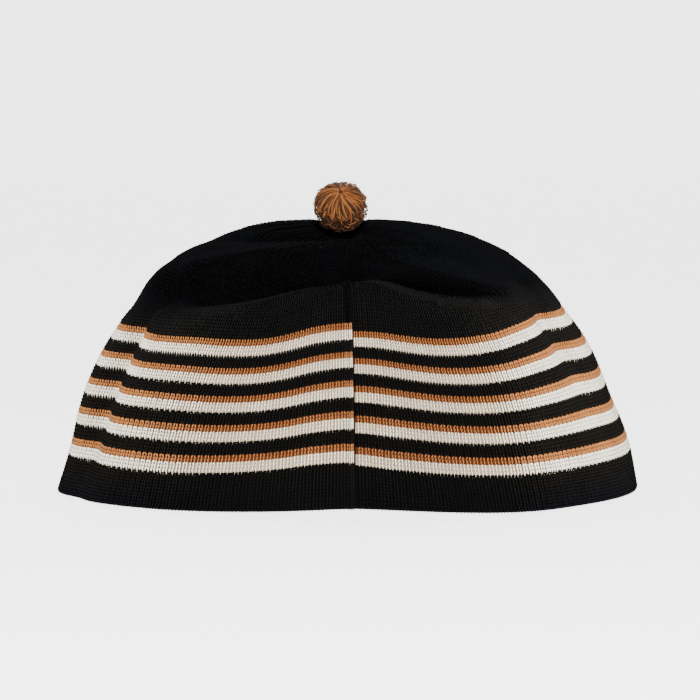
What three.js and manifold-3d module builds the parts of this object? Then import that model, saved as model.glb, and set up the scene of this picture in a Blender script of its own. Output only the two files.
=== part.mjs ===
// A knitted kufi, standing on its hem: a black cap with tan and white stripes and a tan pompom.
//
// Millimetres, +Z up. The origin is on the surface that the hem stands on, at the middle of the rim.
// +X runs to the right of someone who looks at the seam, and +Y runs away from them, to the far wall.
// The whole fabric is one surface: an azimuth round the cap, in degrees from +X, and how far up it is
// from the hem, 0, to the gathered eye, 1. SECTIONS gives the slumped cap on its four sides, and FOLDS
// the dents and folds laid over it.

import * as THREE from 'three';
import { mergeVertices } from 'three/addons/utils/BufferGeometryUtils.js';
import Module from 'manifold-3d';

// Driving sizes of the cap
const rimWidth = 200;            // rim, side to side
const rimFrontDepth = 65;        // rim, from its middle to the front
const rimBackDepth = 62;         // rim, from its middle to the far wall
const rimSquareness = 2.4;       // 2 is an ellipse, and more is boxier
const crownHeight = 93;          // highest fabric above the hem
const fabricThickness = 2;
const eyeSideShift = -2.8;       // the gathered eye, from the middle of the rim
const eyeBackShift = 2;
const gatherCount = 24;          // pleats drawn in round the eye
const gatherDepth = 0.8;

// Driving sizes of the seam, the tie and the pompom
const seamAzimuth = 270.6;
const seamWidth = 2.6;
const seamHeight = 0.9;
const seamClearance = 0.5;       // over the fabric, whose facets turn across it
const tieRadius = 2.2;
const tieFootRadius = 1.2;
const tieLength = 2.6;
const pompomRadius = 9.4;        // over the strands, across the axis
const pompomFlatness = 0.84;     // its height along the axis, for its width
const pompomLean = 43;           // degrees from upright, towards the front
const strandCount = 16;
const strandRadius = 1.05;
const strandSwirl = 0.18;        // turn round the axis for each degree from pole to tie
const strandBedding = 1.35;      // depth of the strands' middles in the head, in radii
const pieceGap = 0.3;            // between pieces that touch

// Courses of the knitting, counted from the hem
const hemCourses = 12;
const whiteCourses = 3;
const tanCourses = 2;
const blackCourses = 4;
const stripeRepeats = 5;
const crownCourses = 68;

// Steps of the faceted surfaces
const columnsOutside = 96;
const columnsInside = columnsOutside / 2;
const rowsInHem = 2;
const rowsInCrown = 17;
const rowsInside = 13;
const strandSteps = 9;
const strandSides = 6;

const blackYarn = new THREE.MeshStandardMaterial({ color: 0x16171b, roughness: 0.9, metalness: 0 });
const tanYarn = new THREE.MeshStandardMaterial({ color: 0xb87a3e, roughness: 0.85, metalness: 0 });
const whiteYarn = new THREE.MeshStandardMaterial({ color: 0xe2ddd2, roughness: 0.85, metalness: 0 });

// The slumped cap on its right, back, left and front: reach is a share of the rim's radius on that
// side, and height is a share of crownHeight.
const SECTIONS = [
  //          reach:  right  back   left   front    height: right  back   left   front
  { up: 0.000, reach: [1.000, 1.000, 1.000, 1.000], height: [0.000, 0.000, 0.000, 0.000] },
  { up: 0.099, reach: [0.971, 0.975, 0.950, 0.985], height: [0.162, 0.160, 0.160, 0.148] },
  { up: 0.215, reach: [0.905, 0.930, 0.905, 0.945], height: [0.345, 0.335, 0.338, 0.306] },
  { up: 0.331, reach: [0.835, 0.865, 0.842, 0.890], height: [0.527, 0.507, 0.498, 0.462] },
  { up: 0.438, reach: [0.737, 0.785, 0.765, 0.825], height: [0.680, 0.660, 0.636, 0.605] },
  { up: 0.496, reach: [0.690, 0.730, 0.718, 0.785], height: [0.748, 0.735, 0.722, 0.685] },
  { up: 0.562, reach: [0.622, 0.655, 0.645, 0.700], height: [0.818, 0.812, 0.803, 0.770] },
  { up: 0.645, reach: [0.530, 0.545, 0.543, 0.550], height: [0.888, 0.885, 0.880, 0.850] },
  { up: 0.744, reach: [0.390, 0.400, 0.405, 0.370], height: [0.948, 0.942, 0.940, 0.905] },
  { up: 0.843, reach: [0.235, 0.245, 0.245, 0.220], height: [0.982, 0.974, 0.976, 0.930] },
  { up: 0.926, reach: [0.120, 0.115, 0.115, 0.105], height: [0.992, 0.984, 0.986, 0.925] },
  { up: 1.000, reach: [0.030, 0.030, 0.030, 0.030], height: [0.962, 0.962, 0.962, 0.962] },
];

// Bell-shaped folds: where each one is, how far it climbs for each degree, how far it spreads in degrees
// and in shares of the way up, and how far it moves the fabric out, as a share of rimFrontDepth, and up,
// as a share of crownHeight.
const FOLDS = [
  { name: 'seam tuck', at: 272, up: 0.07, climb: 0, wide: 19, tall: 0.5, out: -0.135, lift: 0 },
  { name: 'right lobe of the rim', at: 311, up: 0.07, climb: 0, wide: 14, tall: 0.41, out: 0.11, lift: 0 },
  { name: 'left lobe of the rim', at: 227, up: 0.07, climb: 0, wide: 14, tall: 0.41, out: 0.04, lift: 0 },
  { name: 'right flank', at: 342, up: 0.08, climb: 0, wide: 14, tall: 0.41, out: -0.03, lift: 0 },
  { name: 'right flute', at: 341, up: 0.4, climb: 0, wide: 5.5, tall: 0.18, out: -0.06, lift: 0 },
  { name: 'left flute', at: 197, up: 0.32, climb: 0, wide: 4.5, tall: 0.3, out: -0.085, lift: 0 },
  { name: 'left roll', at: 188, up: 0.3, climb: 0, wide: 5, tall: 0.3, out: 0.03, lift: 0 },
  { name: 'left sag', at: 228, up: 0.4, climb: 0, wide: 26, tall: 0.13, out: 0, lift: -0.008 },
  { name: 'right sag', at: 304, up: 0.4, climb: 0, wide: 24, tall: 0.13, out: 0, lift: -0.018 },
  { name: 'rise at the seam', at: 275, up: 0.3, climb: 0, wide: 24, tall: 0.26, out: 0, lift: 0.045 },
  { name: 'wall top at the seam', at: 274, up: 0.55, climb: 0, wide: 20, tall: 0.06, out: 0.04, lift: 0.045 },
  { name: 'left pocket', at: 227, up: 0.6, climb: 0.002, wide: 32, tall: 0.05, out: -0.16, lift: -0.13 },
  { name: 'left ridge', at: 224, up: 0.695, climb: 0.0034, wide: 32, tall: 0.04, out: 0.12, lift: 0.015 },
  { name: 'left valley', at: 214, up: 0.79, climb: 0.002, wide: 34, tall: 0.033, out: -0.03, lift: -0.025 },
  { name: 'front pocket', at: 269, up: 0.68, climb: 0, wide: 18, tall: 0.085, out: -0.08, lift: -0.135 },
  { name: 'right hollow', at: 306, up: 0.56, climb: -0.0014, wide: 21, tall: 0.027, out: -0.15, lift: -0.01 },
  { name: 'right lobe', at: 310, up: 0.625, climb: -0.004, wide: 24, tall: 0.048, out: 0.15, lift: -0.015 },
  { name: 'back dimple', at: 100, up: 0.66, climb: 0, wide: 30, tall: 0.08, out: -0.04, lift: -0.03 },
  { name: 'back left fold', at: 138, up: 0.5, climb: 0, wide: 10, tall: 0.2, out: -0.03, lift: 0 },
  { name: 'back right fold', at: 58, up: 0.45, climb: 0, wide: 11, tall: 0.22, out: -0.03, lift: 0 },
];

const radians = THREE.MathUtils.degToRad;
const bell = (distance) => Math.exp(-distance * distance);
const turnBetween = (from, to) => THREE.MathUtils.euclideanModulo(to - from + 180, 360) - 180;

// Slope of a smooth curve at a row of the table: the harmonic mean, which never overshoots
function slopeAt(row, column, side) {
  const steepness = (a, b) => (b[column][side] - a[column][side]) / (b.up - a.up);
  if (row === 0) return steepness(SECTIONS[0], SECTIONS[1]);
  if (row === SECTIONS.length - 1) return steepness(SECTIONS[row - 1], SECTIONS[row]);
  const below = steepness(SECTIONS[row - 1], SECTIONS[row]);
  const above = steepness(SECTIONS[row], SECTIONS[row + 1]);
  return below * above > 0 ? 2 * below * above / (below + above) : 0;
}

function readSection(column, side, up) {
  let row = 0;
  while (row < SECTIONS.length - 2 && up > SECTIONS[row + 1].up) row += 1;
  const [lower, upper] = [SECTIONS[row], SECTIONS[row + 1]];
  const span = upper.up - lower.up;
  const t = (up - lower.up) / span;
  return (2 * t ** 3 - 3 * t ** 2 + 1) * lower[column][side]
    + (t ** 3 - 2 * t ** 2 + t) * span * slopeAt(row, column, side)
    + (3 * t ** 2 - 2 * t ** 3) * upper[column][side]
    + (t ** 3 - t ** 2) * span * slopeAt(row + 1, column, side);
}

// Value of a table column at an azimuth: the four sides, blended by squared cosine and sine
function readAround(column, azimuth, up) {
  const c = Math.cos(radians(azimuth));
  const s = Math.sin(radians(azimuth));
  const shares = [Math.max(c, 0), Math.max(s, 0), Math.max(-c, 0), Math.max(-s, 0)];
  return shares.reduce((sum, share, side) => sum + share ** 2 * readSection(column, side, up), 0);
}

function rimRadius(azimuth) {
  const c = Math.abs(Math.cos(radians(azimuth))) / (rimWidth / 2);
  const depth = Math.sin(radians(azimuth)) < 0 ? rimFrontDepth : rimBackDepth;
  const s = Math.abs(Math.sin(radians(azimuth))) / depth;
  return (c ** rimSquareness + s ** rimSquareness) ** (-1 / rimSquareness);
}

// Folds leave the hem flat on its surface and fade out at the eye
const hemFade = 0.02;
const eyeFade = 0.12;
const foldStrengthAtHem = (up) => Math.min(up / hemFade, 1);
const foldStrengthAtEye = (up) => Math.min((1 - up) / eyeFade, 1);

// Outer face of the fabric, before the pleats
function fabricPoint(azimuth, up) {
  let reach = readAround('reach', azimuth, up) * rimRadius(azimuth);
  let height = readAround('height', azimuth, up) * crownHeight;
  for (const fold of FOLDS) {
    const turn = turnBetween(fold.at, azimuth);
    const strength = bell(turn / fold.wide)
      * bell((up - fold.up - fold.climb * turn) / fold.tall) * foldStrengthAtEye(up);
    reach += fold.out * rimFrontDepth * strength;
    height += fold.lift * crownHeight * strength * foldStrengthAtHem(up);
  }
  return new THREE.Vector3(
    reach * Math.cos(radians(azimuth)) + eyeSideShift * up * up,
    reach * Math.sin(radians(azimuth)) + eyeBackShift * up * up,
    height,
  );
}

function fabricNormal(azimuth, up) {
  const turn = 1;
  const climb = 0.006;
  const around = fabricPoint(azimuth + turn, up).sub(fabricPoint(azimuth - turn, up));
  const lower = fabricPoint(azimuth, Math.max(up - climb, 0));
  const upper = fabricPoint(azimuth, Math.min(up + climb, 1));
  return around.cross(upper.sub(lower)).normalize();
}

// Pleats drawn in round the eye, deepest just outside it at the back on the left, and unevenly spaced
const pleatCentre = 0.84;
const pleatReach = 0.12;
const pleatAzimuth = 150;
const pleatTurn = 70;
const pleatLeast = 0.35;
const pleatUnevenness = 1.4;
const pleatUnevenTurns = 3;

function pleatDepth(azimuth, up) {
  const share = pleatLeast + (1 - pleatLeast) * bell(turnBetween(pleatAzimuth, azimuth) / pleatTurn);
  return gatherDepth * share * bell((up - pleatCentre) / pleatReach) * foldStrengthAtEye(up);
}

function outerPoint(azimuth, up) {
  const shift = pleatUnevenness * Math.sin(radians(pleatUnevenTurns * azimuth));
  const wave = Math.cos(radians(gatherCount * azimuth) + shift);
  return fabricPoint(azimuth, up).addScaledVector(fabricNormal(azimuth, up), pleatDepth(azimuth, up) * wave);
}

function innerPoint(azimuth, up) {
  const point = fabricPoint(azimuth, up).addScaledVector(fabricNormal(azimuth, up), -fabricThickness);
  if (up === 0) point.z = 0;
  return point;
}

// The stripes as bands of courses, each with its yarn, from the hem up
function listBands() {
  const bands = [{ courses: hemCourses, rows: rowsInHem, yarn: 0 }];
  for (let repeat = 0; repeat < stripeRepeats; repeat += 1) {
    if (repeat > 0) bands.push({ courses: blackCourses, rows: 1, yarn: 0 });
    bands.push({ courses: whiteCourses, rows: 1, yarn: 2 });
    bands.push({ courses: tanCourses, rows: 1, yarn: 1 });
  }
  bands.push({ courses: crownCourses, rows: rowsInCrown, yarn: 0 });
  return bands;
}

// Rows of the outer face, each with its share of the way up and the yarn of the band that it opens
function listOuterRows() {
  const bands = listBands();
  const courses = bands.reduce((sum, band) => sum + band.courses, 0);
  const rows = [];
  let below = 0;
  for (const band of bands) {
    for (let row = 0; row < band.rows; row += 1) {
      rows.push({ up: (below + band.courses * row / band.rows) / courses, yarn: band.yarn });
    }
    below += band.courses;
  }
  rows.push({ up: 1, yarn: 0 });
  return rows;
}

function knittedBody() {
  const outerRows = listOuterRows();
  const positions = [];
  const triangles = [[], [], []];
  const addRing = (columns, pointAt, up) => {
    const first = positions.length / 3;
    for (let column = 0; column < columns; column += 1) {
      pointAt(seamAzimuth + column * 360 / columns, up).toArray(positions, positions.length);
    }
    return first;
  };
  const addCentre = (first, columns) => {
    const centre = new THREE.Vector3();
    for (let i = first; i < first + columns; i += 1) {
      centre.add(new THREE.Vector3().fromArray(positions, i * 3));
    }
    centre.divideScalar(columns).toArray(positions, positions.length);
    return positions.length / 3 - 1;
  };

  const outerRings = outerRows.map((row) => addRing(columnsOutside, outerPoint, row.up));
  const innerRings = Array.from({ length: rowsInside }, (_, row) => (
    addRing(columnsInside, innerPoint, row / (rowsInside - 1))));
  const outerCentre = addCentre(outerRings.at(-1), columnsOutside);
  const innerCentre = addCentre(innerRings.at(-1), columnsInside);

  for (let row = 0; row < outerRings.length - 1; row += 1) {
    const [low, high] = [outerRings[row], outerRings[row + 1]];
    for (let column = 0; column < columnsOutside; column += 1) {
      const next = (column + 1) % columnsOutside;
      triangles[outerRows[row].yarn].push(low + column, low + next, high + next);
      triangles[outerRows[row].yarn].push(low + column, high + next, high + column);
    }
  }
  for (let row = 0; row < innerRings.length - 1; row += 1) {
    const [low, high] = [innerRings[row], innerRings[row + 1]];
    for (let column = 0; column < columnsInside; column += 1) {
      const next = (column + 1) % columnsInside;
      triangles[0].push(low + column, high + next, low + next);
      triangles[0].push(low + column, high + column, high + next);
    }
  }
  // The flat underside of the hem, two outer steps to each inner one
  for (let column = 0; column < columnsInside; column += 1) {
    const inner = innerRings[0] + column;
    const innerNext = innerRings[0] + (column + 1) % columnsInside;
    const outer = outerRings[0] + column * 2;
    const outerNext = outerRings[0] + (column * 2 + 2) % columnsOutside;
    triangles[0].push(inner, outer + 1, outer);
    triangles[0].push(inner, innerNext, outer + 1);
    triangles[0].push(innerNext, outerNext, outer + 1);
  }
  for (let column = 0; column < columnsOutside; column += 1) {
    const next = (column + 1) % columnsOutside;
    triangles[0].push(outerRings.at(-1) + column, outerRings.at(-1) + next, outerCentre);
  }
  for (let column = 0; column < columnsInside; column += 1) {
    const next = (column + 1) % columnsInside;
    triangles[0].push(innerRings.at(-1) + next, innerRings.at(-1) + column, innerCentre);
  }

  const geometry = new THREE.BufferGeometry();
  geometry.setAttribute('position', new THREE.Float32BufferAttribute(positions, 3));
  geometry.setIndex(triangles.flat());
  let start = 0;
  triangles.forEach((list, yarn) => {
    geometry.addGroup(start, list.length, yarn);
    start += list.length;
  });
  geometry.computeVertexNormals();
  return geometry;
}

// Closed skin over a row of equal sections, each listed anticlockwise as seen from the last one
function loft(sections) {
  const sides = sections[0].length;
  const index = [];
  for (let step = 0; step < sections.length - 1; step += 1) {
    for (let side = 0; side < sides; side += 1) {
      const [a, b] = [step * sides + side, step * sides + (side + 1) % sides];
      index.push(a, b + sides, a + sides, a, b, b + sides);
    }
  }
  const last = (sections.length - 1) * sides;
  for (let side = 1; side < sides - 1; side += 1) {
    index.push(0, side + 1, side, last, last + side, last + side + 1);
  }
  const geometry = new THREE.BufferGeometry().setFromPoints(sections.flat());
  geometry.setIndex(index);
  geometry.computeVertexNormals();
  return geometry;
}

// A raised rib with a rounded top, laid on the fabric's rows from the hem to just below the eye
const seamHead = 0.95;
const SEAM_SECTION = [
  { across: -0.50, rise: 0.00 },
  { across: -0.38, rise: 0.65 },
  { across: 0.00, rise: 1.00 },
  { across: 0.38, rise: 0.65 },
  { across: 0.50, rise: 0.00 },
];
function sewnSeam() {
  const rows = listOuterRows().filter((row) => row.up < seamHead);
  return loft(rows.map(({ up }) => {
    const normal = fabricNormal(seamAzimuth, up);
    const across = fabricPoint(seamAzimuth + 1, up).sub(fabricPoint(seamAzimuth - 1, up)).normalize();
    const foot = fabricPoint(seamAzimuth, up).addScaledVector(normal, seamClearance + pleatDepth(seamAzimuth, up));
    return SEAM_SECTION.map((corner) => foot.clone()
      .addScaledVector(across, corner.across * seamWidth)
      .addScaledVector(normal, corner.rise * seamHeight));
  }));
}

// Wound thread, narrow at its foot and fullest just over half way up
const tieFullestAt = 0.55;
const tieHeadTaper = 0.9;
const tieSides = 16;
function pompomTie() {
  const profile = [
    new THREE.Vector2(0, 0),
    new THREE.Vector2(tieFootRadius, 0),
    new THREE.Vector2(tieRadius, tieLength * tieFullestAt),
    new THREE.Vector2(tieRadius * tieHeadTaper, tieLength),
    new THREE.Vector2(0, tieLength),
  ];
  return new THREE.LatheGeometry(profile, tieSides).rotateX(Math.PI / 2);
}

// manifold-3d joins the strands to the head
const wasm = await Module();
wasm.setup();

function toSolid(geometry) {
  geometry.deleteAttribute('normal');
  geometry.deleteAttribute('uv');
  const merged = mergeVertices(geometry, 1e-4);
  return new wasm.Manifold(new wasm.Mesh({
    numProp: 3,
    vertProperties: new Float32Array(merged.attributes.position.array),
    triVerts: new Uint32Array(merged.index.array),
  }));
}

function toGeometry(solid) {
  const mesh = solid.getMesh();
  const geometry = new THREE.BufferGeometry();
  geometry.setAttribute('position', new THREE.Float32BufferAttribute(mesh.vertProperties, 3));
  geometry.setIndex(Array.from(mesh.triVerts));
  geometry.computeVertexNormals();
  return geometry;
}

// One strand: up from near the tie, over the side and in to the pole, with a slight swirl. The degrees
// are from the pole.
const STRAND_DEGREES = [165, 130, 95, 60, 30, 8];
function strandCurve(azimuth) {
  const reach = pompomRadius - strandRadius;
  return new THREE.CatmullRomCurve3(STRAND_DEGREES.map((fromPole) => {
    const turn = radians(azimuth + strandSwirl * (fromPole - 90));
    const point = new THREE.Vector3().setFromSphericalCoords(reach, radians(fromPole), turn);
    return new THREE.Vector3(point.z, point.x, point.y * pompomFlatness);
  }));
}

function pompom() {
  const headRadius = pompomRadius - strandRadius * strandBedding;
  const head = new THREE.IcosahedronGeometry(headRadius, 3).scale(1, 1, pompomFlatness);
  const section = new THREE.Shape(Array.from({ length: strandSides }, (_, corner) => {
    const turn = corner * 2 * Math.PI / strandSides;
    return new THREE.Vector2(strandRadius * Math.cos(turn), strandRadius * Math.sin(turn));
  }));
  let yarnBall = toSolid(head);
  for (let strand = 0; strand < strandCount; strand += 1) {
    const geometry = new THREE.ExtrudeGeometry(section, {
      steps: strandSteps, bevelEnabled: false, extrudePath: strandCurve(strand * 360 / strandCount),
    });
    yarnBall = yarnBall.add(toSolid(geometry));
  }
  return toGeometry(yarnBall);
}

function addPiece(group, name, geometry, material) {
  const mesh = new THREE.Mesh(geometry, material);
  mesh.name = name;
  group.add(mesh);
  return mesh;
}

const cap = new THREE.Group();
cap.name = 'kufi';
addPiece(cap, 'knitted_body', knittedBody(), [blackYarn, tanYarn, whiteYarn]);
addPiece(cap, 'sewn_seam', sewnSeam(), blackYarn);

// The origin is the middle of the rim's box
const rimBox = new THREE.Box3().setFromObject(cap);
cap.position.set(-(rimBox.min.x + rimBox.max.x) / 2, -(rimBox.min.y + rimBox.max.y) / 2, 0);

// The tie stands on the eye and leans to the front, with the pompom on its end
const crownTop = new THREE.Group();
const footRise = tieFootRadius * Math.sin(radians(pompomLean)) + pieceGap;
crownTop.position.copy(fabricPoint(seamAzimuth, 1)).setX(eyeSideShift).setY(eyeBackShift);
crownTop.position.z += footRise;
crownTop.rotation.x = radians(pompomLean);
cap.add(crownTop);
addPiece(crownTop, 'pompom_tie', pompomTie(), blackYarn);
const ball = addPiece(crownTop, 'pompom', pompom(), tanYarn);
ball.position.z = tieLength + pieceGap + pompomRadius * pompomFlatness;

export default cap;
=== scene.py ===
import math

import bpy
import numpy as np
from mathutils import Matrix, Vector


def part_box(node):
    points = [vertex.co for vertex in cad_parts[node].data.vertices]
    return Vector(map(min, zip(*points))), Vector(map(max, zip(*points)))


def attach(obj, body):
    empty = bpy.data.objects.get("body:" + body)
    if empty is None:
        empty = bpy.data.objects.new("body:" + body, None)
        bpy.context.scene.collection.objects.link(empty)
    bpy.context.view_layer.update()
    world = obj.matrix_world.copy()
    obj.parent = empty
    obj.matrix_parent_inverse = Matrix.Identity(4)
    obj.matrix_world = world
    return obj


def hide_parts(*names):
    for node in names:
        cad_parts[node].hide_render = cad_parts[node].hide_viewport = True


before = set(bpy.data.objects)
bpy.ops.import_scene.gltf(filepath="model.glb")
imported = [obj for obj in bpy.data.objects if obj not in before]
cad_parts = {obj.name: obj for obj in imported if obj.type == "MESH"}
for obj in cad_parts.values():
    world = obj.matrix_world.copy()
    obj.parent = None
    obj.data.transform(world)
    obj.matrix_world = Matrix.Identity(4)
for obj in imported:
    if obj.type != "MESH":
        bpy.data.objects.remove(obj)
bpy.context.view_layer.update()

MM = 0.001

# The camera stands two metres in front of the seam, a little above the hem, as in the photograph.
# It looks level with the middle of the cap, so the wall is nearly square to it.
camera_distance = 2.0
camera_elevation = math.radians(6.5)
camera_target = Vector((0.7, 1.8, 48.0)) * MM
photo_pixels = 700
pixels_per_metre = 2880
camera_data = bpy.data.cameras.new("camera")
camera_data.sensor_width = 36
camera_data.lens = camera_data.sensor_width * pixels_per_metre * camera_distance / photo_pixels
camera = bpy.data.objects.new("camera", camera_data)
back_to_camera = Vector((0, -math.cos(camera_elevation), math.sin(camera_elevation)))
camera.location = camera_target + back_to_camera * camera_distance
camera.rotation_euler = (-back_to_camera).to_track_quat("-Z", "Y").to_euler()
bpy.context.scene.collection.objects.link(camera)
bpy.context.scene.camera = camera


# The knitted body is one tube of striped stocking stitch, stretched at the hem and gathered at the eye.
# It stands slumped on its hem: the wall leans in, the left of the crown sinks into a pocket and the
# right of it puffs out. This mesh is the ground behind the stitches and the purl side inside.
rim_width = 200
rim_front_depth = 65
rim_back_depth = 62
rim_squareness = 2.4
crown_height = 93
fabric_thickness = 2.0
ground_depth = 0.35
eye_side_shift = -2.8
eye_back_shift = 2.0
seam_azimuth = 270.6
hem_courses = 12
white_courses = 3
tan_courses = 2
black_courses = 4
stripe_repeats = 5
crown_courses = 68
repeat_courses = white_courses + tan_courses + black_courses
striped_top = hem_courses + stripe_repeats * repeat_courses - black_courses
all_courses = striped_top + crown_courses
wales = 216

# The slumped cap on its right, back, left and front: reach is a share of the rim's radius on that side,
# and height is a share of crown_height
SECTIONS = (
    dict(up=0.000, reach=(1.000, 1.000, 1.000, 1.000), height=(0.000, 0.000, 0.000, 0.000)),
    dict(up=0.099, reach=(0.971, 0.975, 0.950, 0.985), height=(0.162, 0.160, 0.160, 0.148)),
    dict(up=0.215, reach=(0.905, 0.930, 0.905, 0.945), height=(0.345, 0.335, 0.338, 0.306)),
    dict(up=0.331, reach=(0.835, 0.865, 0.842, 0.890), height=(0.527, 0.507, 0.498, 0.462)),
    dict(up=0.438, reach=(0.737, 0.785, 0.765, 0.825), height=(0.680, 0.660, 0.636, 0.605)),
    dict(up=0.496, reach=(0.690, 0.730, 0.718, 0.785), height=(0.748, 0.735, 0.722, 0.685)),
    dict(up=0.562, reach=(0.622, 0.655, 0.645, 0.700), height=(0.818, 0.812, 0.803, 0.770)),
    dict(up=0.645, reach=(0.530, 0.545, 0.543, 0.550), height=(0.888, 0.885, 0.880, 0.850)),
    dict(up=0.744, reach=(0.390, 0.400, 0.405, 0.370), height=(0.948, 0.942, 0.940, 0.905)),
    dict(up=0.843, reach=(0.235, 0.245, 0.245, 0.220), height=(0.982, 0.974, 0.976, 0.930)),
    dict(up=0.926, reach=(0.120, 0.115, 0.115, 0.105), height=(0.992, 0.984, 0.986, 0.925)),
    dict(up=1.000, reach=(0.030, 0.030, 0.030, 0.030), height=(0.962, 0.962, 0.962, 0.962)),
)
# Bell-shaped folds, which climb by a share of the way up for each degree: out is a share of
# rim_front_depth, and lift a share of crown_height
FOLDS = (
    dict(name="seam tuck", at=272, up=0.07, climb=0, wide=19, tall=0.5, out=-0.135, lift=0),
    dict(name="right lobe of the rim", at=311, up=0.07, climb=0, wide=14, tall=0.41, out=0.11, lift=0),
    dict(name="left lobe of the rim", at=227, up=0.07, climb=0, wide=14, tall=0.41, out=0.04, lift=0),
    dict(name="right flank", at=342, up=0.08, climb=0, wide=14, tall=0.41, out=-0.03, lift=0),
    dict(name="right flute", at=341, up=0.4, climb=0, wide=5.5, tall=0.18, out=-0.06, lift=0),
    dict(name="left flute", at=197, up=0.32, climb=0, wide=4.5, tall=0.3, out=-0.085, lift=0),
    dict(name="left roll", at=188, up=0.3, climb=0, wide=5, tall=0.3, out=0.03, lift=0),
    dict(name="left sag", at=228, up=0.4, climb=0, wide=26, tall=0.13, out=0, lift=-0.008),
    dict(name="right sag", at=304, up=0.4, climb=0, wide=24, tall=0.13, out=0, lift=-0.018),
    dict(name="rise at the seam", at=275, up=0.3, climb=0, wide=24, tall=0.26, out=0, lift=0.045),
    dict(name="wall top at the seam", at=274, up=0.55, climb=0, wide=20, tall=0.06, out=0.04, lift=0.045),
    dict(name="left pocket", at=227, up=0.6, climb=0.002, wide=32, tall=0.05, out=-0.16, lift=-0.13),
    dict(name="left ridge", at=224, up=0.695, climb=0.0034, wide=32, tall=0.04, out=0.12, lift=0.015),
    dict(name="left valley", at=214, up=0.79, climb=0.002, wide=34, tall=0.033, out=-0.03, lift=-0.025),
    dict(name="front pocket", at=269, up=0.68, climb=0, wide=18, tall=0.085, out=-0.08, lift=-0.135),
    dict(name="right hollow", at=306, up=0.56, climb=-0.0014, wide=21, tall=0.027, out=-0.15, lift=-0.01),
    dict(name="right lobe", at=310, up=0.625, climb=-0.004, wide=24, tall=0.048, out=0.15, lift=-0.015),
    dict(name="back dimple", at=100, up=0.66, climb=0, wide=30, tall=0.08, out=-0.04, lift=-0.03),
    dict(name="back left fold", at=138, up=0.5, climb=0, wide=10, tall=0.2, out=-0.03, lift=0),
    dict(name="back right fold", at=58, up=0.45, climb=0, wide=11, tall=0.22, out=-0.03, lift=0),
)


# Shares of the way up over which the folds die away at the hem and at the eye
hem_fade = 0.02
eye_fade = 0.12


def bell(distance):
    return np.exp(-distance * distance)


def turn_between(start, end):
    return np.mod(end - start + 180, 360) - 180


def read_sections(column, azimuth, up):
    """A smooth curve through the rows on each side, blended by squared cosine and sine round the cap."""
    ups = np.array([row["up"] for row in SECTIONS])
    values = np.array([row[column] for row in SECTIONS])
    spans = np.diff(ups)[:, None]
    steepness = np.diff(values, axis=0) / spans
    below, above = steepness[:-1], steepness[1:]
    slopes = np.vstack([steepness[:1], np.zeros_like(below), steepness[-1:]])
    same_way = below * above > 0
    slopes[1:-1][same_way] = (2 * below * above)[same_way] / (below + above)[same_way]
    row = np.clip(np.searchsorted(ups, up) - 1, 0, len(spans) - 1)
    span = spans[row]
    t = ((up - ups[row])[..., None]) / span
    side = ((2 * t**3 - 3 * t**2 + 1) * values[row] + (t**3 - 2 * t**2 + t) * span * slopes[row]
            + (3 * t**2 - 2 * t**3) * values[row + 1] + (t**3 - t**2) * span * slopes[row + 1])
    c, s = np.cos(np.radians(azimuth)), np.sin(np.radians(azimuth))
    shares = np.stack([np.maximum(c, 0), np.maximum(s, 0), np.maximum(-c, 0), np.maximum(-s, 0)], -1) ** 2
    return (side * shares).sum(-1)


def slumped(azimuth, up):
    """Outer face of the fabric in millimetres, before its box is centred and its pleats are drawn in."""
    azimuth, up = np.broadcast_arrays(np.asarray(azimuth, float), np.asarray(up, float))
    c, s = np.cos(np.radians(azimuth)), np.sin(np.radians(azimuth))
    depth = np.where(s < 0, rim_front_depth, rim_back_depth)
    rim = (np.abs(2 * c / rim_width) ** rim_squareness
           + np.abs(s / depth) ** rim_squareness) ** (-1 / rim_squareness)
    reach = read_sections("reach", azimuth, up) * rim
    height = read_sections("height", azimuth, up) * crown_height
    at_hem, at_eye = np.clip(up / hem_fade, 0, 1), np.clip((1 - up) / eye_fade, 0, 1)
    for fold in FOLDS:
        turn = turn_between(fold["at"], azimuth)
        strength = (bell(turn / fold["wide"])
                    * bell((up - fold["up"] - fold["climb"] * turn) / fold["tall"]) * at_eye)
        reach = reach + fold["out"] * rim_front_depth * strength
        height = height + fold["lift"] * crown_height * strength * at_hem
    return np.stack([reach * c + eye_side_shift * up**2, reach * s + eye_back_shift * up**2, height], -1)


rim_line = slumped(np.arange(0, 360, 3.75), 0.0)
rim_middle = (rim_line.min(0) + rim_line.max(0)) / 2


def unit(vectors):
    return vectors / np.linalg.norm(vectors, axis=-1, keepdims=True)


def fabric_axes(azimuth, up):
    """Unit vectors across the fabric, up it and out of it."""
    turn, climb = 0.5, 0.003
    across = unit(slumped(azimuth + turn, up) - slumped(azimuth - turn, up))
    upward = slumped(azimuth, np.minimum(up + climb, 1)) - slumped(azimuth, np.maximum(up - climb, 0))
    outward = unit(np.cross(across, upward))
    return across, np.cross(outward, across), outward


# The pleats that the eye gathers are deepest at the back on the left
pleat_count = 24
pleat_depth = 0.9
pleat_centre = 0.84
pleat_spread = 0.12
pleat_azimuth = 150
pleat_turn = 70
pleat_least = 0.35


def fabric(azimuth, up, out=0.0, pleated=True):
    """A point on the fabric, out millimetres off its outer face."""
    azimuth, up = np.broadcast_arrays(np.asarray(azimuth, float), np.asarray(up, float))
    wave = np.cos(np.radians(pleat_count * azimuth) + 1.4 * np.sin(np.radians(3 * azimuth)))
    depth = pleat_least + (1 - pleat_least) * bell(turn_between(pleat_azimuth, azimuth) / pleat_turn)
    at_eye = np.clip((1 - up) / eye_fade, 0, 1)
    depth = depth * pleat_depth * bell((up - pleat_centre) / pleat_spread) * at_eye
    push = out + (wave * depth if pleated else 0)
    point = slumped(azimuth, up) + fabric_axes(azimuth, up)[2] * np.asarray(push)[..., None]
    return point - rim_middle * (1, 1, 0)


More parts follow.
